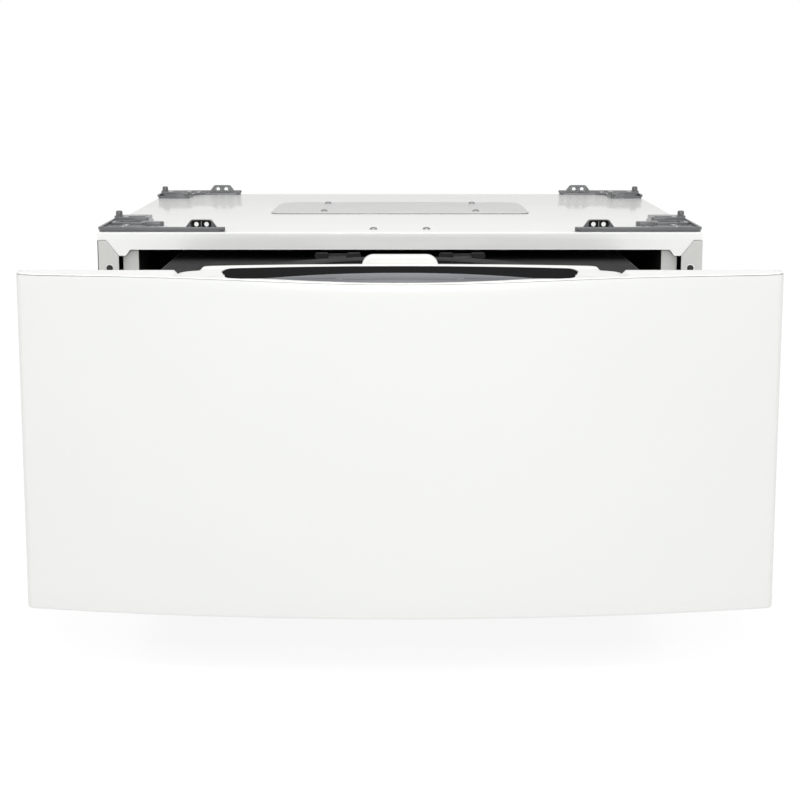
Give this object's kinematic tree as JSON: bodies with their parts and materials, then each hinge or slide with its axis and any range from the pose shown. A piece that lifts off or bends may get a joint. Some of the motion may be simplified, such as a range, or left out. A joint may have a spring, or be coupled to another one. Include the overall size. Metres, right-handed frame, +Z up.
{
  "type": "pedestal washer",
  "caption": "Low pedestal washer: a bowed white front on a pull out drawer that holds a top loading tub, under a steel cabinet with corner brackets for a machine on top.",
  "frame": {"origin": "middle of the footprint of the stored pose, drawer part way out, at floor level", "axes": "+Z up, the front of the drawer faces -Y, +X to the right when facing the machine"},
  "size_m": [0.686, 1.126, 0.374],
  "materials": {
    "white_enamel": "gloss",
    "galvanised": "satin",
    "support_white": "satin",
    "slide_black": "satin",
    "drawer_black": "satin",
    "bracket_grey": "satin",
    "cover_grey": "satin",
    "screw_steel": "polished",
    "plug_black": "matte",
    "white_plastic": "gloss",
    "grey_plastic": "matte",
    "black_plastic": "matte",
    "foot_rubber": "matte",
    "cap_white": "gloss",
    "control_black": "gloss",
    "spring_steel": "satin",
    "deck_graphite": "satin",
    "smoked_window": "gloss",
    "tub_plastic": "matte",
    "stator_copper": "satin",
    "rotor_steel": "satin",
    "shaft_steel": "polished",
    "seal_rubber": "matte",
    "stainless": "polished",
    "ring_plastic": "satin",
    "pulsator_plastic": "satin"
  },
  "bodies": {
    "cabinet": {"top_panel": "white_enamel", "left_side_panel": "white_enamel", "right_side_panel": "white_enamel", "back_panel": "galvanised", "base_pan": "galvanised", "front_rail": "galvanised", "top_braces": "galvanised", "left_slide_support": "support_white", "right_slide_support": "support_white", "left_slide_outer": "slide_black", "right_slide_outer": "slide_black", "bracket_front_left": "bracket_grey", "bracket_front_right": "bracket_grey", "bracket_rear_left": "bracket_grey", "bracket_rear_right": "bracket_grey", "service_cover": "cover_grey", "top_screws": "screw_steel", "post_plugs": "plug_black", "inlet_valve": "white_plastic", "drain_spigot": "grey_plastic", "cord_gland": "black_plastic", "control_box": "white_plastic", "foot_lock_nuts": "screw_steel"},
    "drawer": {"front_skin": "white_enamel", "front_backplate": "white_plastic", "top_cap": "cap_white", "control_glass": "control_black", "button_spring": "spring_steel", "drawer_deck": "deck_graphite", "drawer_left_side": "drawer_black", "drawer_right_side": "drawer_black", "drawer_rear_wall": "drawer_black", "drawer_cross_rails": "drawer_black", "left_slide_inner": "slide_black", "right_slide_inner": "slide_black", "lid_hinge_pins": "shaft_steel", "suspension_rods": "spring_steel"},
    "left_slide": {"left_slide_middle": "slide_black"},
    "right_slide": {"right_slide_middle": "slide_black"},
    "lid": {"lid_frame": "deck_graphite", "lid_window": "smoked_window"},
    "release_button": {"lid_button": "cap_white"},
    "wash_unit": {"tub": "tub_plastic", "tub_cover": "tub_plastic", "motor_stator": "stator_copper", "shaft_bearings": "shaft_steel", "shaft_seal": "seal_rubber", "drain_pump": "white_plastic", "suspension_springs": "spring_steel"},
    "wash_basket": {"basket": "stainless", "balance_ring": "ring_plastic", "basket_shaft": "shaft_steel"},
    "pulsator_drive": {"pulsator": "pulsator_plastic", "drive_shaft": "shaft_steel", "motor_rotor": "rotor_steel"},
    "pump_rotor": {"pump_impeller": "white_plastic"},
    "foot_fl": {"foot_front_left": "foot_rubber"},
    "foot_fr": {"foot_front_right": "foot_rubber"},
    "foot_rl": {"foot_rear_left": "foot_rubber"},
    "foot_rr": {"foot_rear_right": "foot_rubber"}
  },
  "joints": [
    {"name": "drawer_slide", "type": "slide", "parent": "cabinet", "child": "drawer", "axis": [0, -1, 0], "range_m": [-0.344, 0.156]},
    {"name": "left_slide_travel", "type": "slide", "parent": "cabinet", "child": "left_slide", "axis": [0, -1, 0], "range_m": [-0.172, 0.078]},
    {"name": "right_slide_travel", "type": "slide", "parent": "cabinet", "child": "right_slide", "axis": [0, -1, 0], "range_m": [-0.172, 0.078]},
    {"name": "lid_hinge", "type": "hinge", "parent": "drawer", "child": "lid", "pos_m": [0, -0.087, 0.3322], "axis": [-1, 0, 0], "range_deg": [0, 88]},
    {"name": "button_press", "type": "slide", "parent": "drawer", "child": "release_button", "axis": [0, 0, -1], "range_m": [0, 0.004], "stiffness_N_per_m": 900, "springref_m": -0.003, "deforming": ["button_spring"]},
    {"name": "tub_float", "type": "slide", "parent": "drawer", "child": "wash_unit", "axis": [0, 0, 1], "range_m": [-0.008, 0.005], "stiffness_N_per_m": 12000, "springref_m": 0.01117, "deforming": ["suspension_springs"]},
    {"name": "basket_spin", "type": "hinge", "parent": "wash_unit", "child": "wash_basket", "pos_m": [0, -0.267, 0.2], "axis": [0, 0, 1], "continuous": true},
    {"name": "drive_spin", "type": "hinge", "parent": "wash_unit", "child": "pulsator_drive", "pos_m": [0, -0.267, 0.1], "axis": [0, 0, 1], "continuous": true},
    {"name": "pump_spin", "type": "hinge", "parent": "wash_unit", "child": "pump_rotor", "pos_m": [-0.1513, -0.14879, 0.08], "axis": [0, 0, 1], "continuous": true},
    {"name": "foot_fl_height", "type": "slide", "parent": "cabinet", "child": "foot_fl", "axis": [0, 0, 1], "range_m": [-0.012, 0.006]},
    {"name": "foot_fr_height", "type": "slide", "parent": "cabinet", "child": "foot_fr", "axis": [0, 0, 1], "range_m": [-0.012, 0.006]},
    {"name": "foot_rl_height", "type": "slide", "parent": "cabinet", "child": "foot_rl", "axis": [0, 0, 1], "range_m": [-0.012, 0.006]},
    {"name": "foot_rr_height", "type": "slide", "parent": "cabinet", "child": "foot_rr", "axis": [0, 0, 1], "range_m": [-0.012, 0.006]}
  ],
  "couplings": [
    {"joint": "left_slide_travel", "follows": "drawer_slide", "ratio": 0.5},
    {"joint": "right_slide_travel", "follows": "drawer_slide", "ratio": 0.5}
  ]
}
